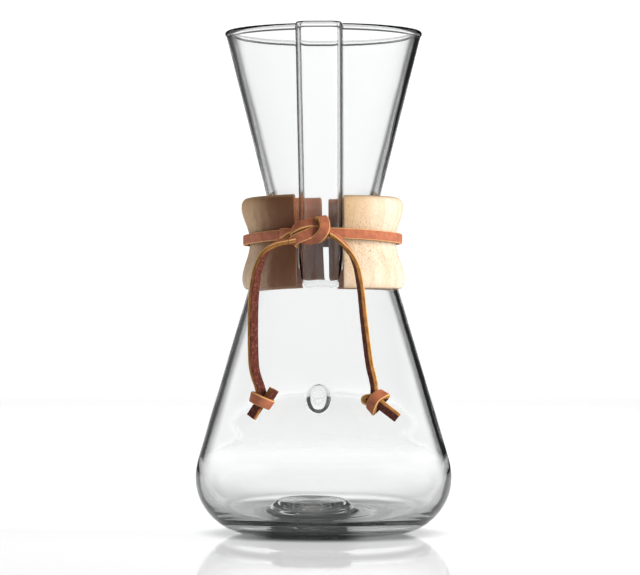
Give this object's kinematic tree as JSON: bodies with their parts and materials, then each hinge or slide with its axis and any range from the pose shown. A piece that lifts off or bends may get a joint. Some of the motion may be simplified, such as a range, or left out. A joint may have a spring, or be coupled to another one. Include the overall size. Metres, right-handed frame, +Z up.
{
  "type": "hourglass pour-over coffee maker",
  "caption": "One-piece hourglass glass coffee maker with a pouring channel, a split turned wood collar and a leather lace tied in front with hanging knotted tails.",
  "frame": {"origin": "middle of the base, on the vessel's axis, at the height of the ring it stands on", "axes": "+Z up the vessel's axis; -Y towards the front, where the pouring channel and the knot are; +X to the right seen from the front"},
  "size_m": [0.1086, 0.1092, 0.213],
  "materials": {
    "glass": "clear, polished",
    "wood": "satin, oiled",
    "leather": "satin grain side, suede flesh side"
  },
  "bodies": {
    "vessel": {"glass_vessel": "glass"},
    "collar_left": {"collar_half_left": "wood", "tie_band_left": "leather", "tie_knot_left": "leather"},
    "collar_right": {"collar_half_right": "wood", "tie_band_right": "leather", "tie_knot_right": "leather"},
    "tail_left": {"tie_tail_left": "leather", "tie_end_knot_left": "leather"},
    "tail_right": {"tie_tail_right": "leather", "tie_end_knot_right": "leather"}
  },
  "joints": [
    {"name": "collar_left_open", "type": "hinge", "parent": "vessel", "child": "collar_left", "pos_m": [0, 0.0334, 0.1244], "axis": [0, 0, -1], "range_deg": [0, 35]},
    {"name": "collar_right_open", "type": "hinge", "parent": "vessel", "child": "collar_right", "pos_m": [0, 0.0334, 0.1244], "axis": [0, 0, 1], "range_deg": [0, 35]},
    {"name": "tail_left_lift", "type": "hinge", "parent": "collar_left", "child": "tail_left", "pos_m": [-0.0128, -0.0382, 0.1232], "axis": [-1, 0, 0], "range_deg": [0, 75]},
    {"name": "tail_right_lift", "type": "hinge", "parent": "collar_right", "child": "tail_right", "pos_m": [0.0047, -0.0384, 0.1261], "axis": [-1, 0, 0], "range_deg": [0, 75]}
  ]
}
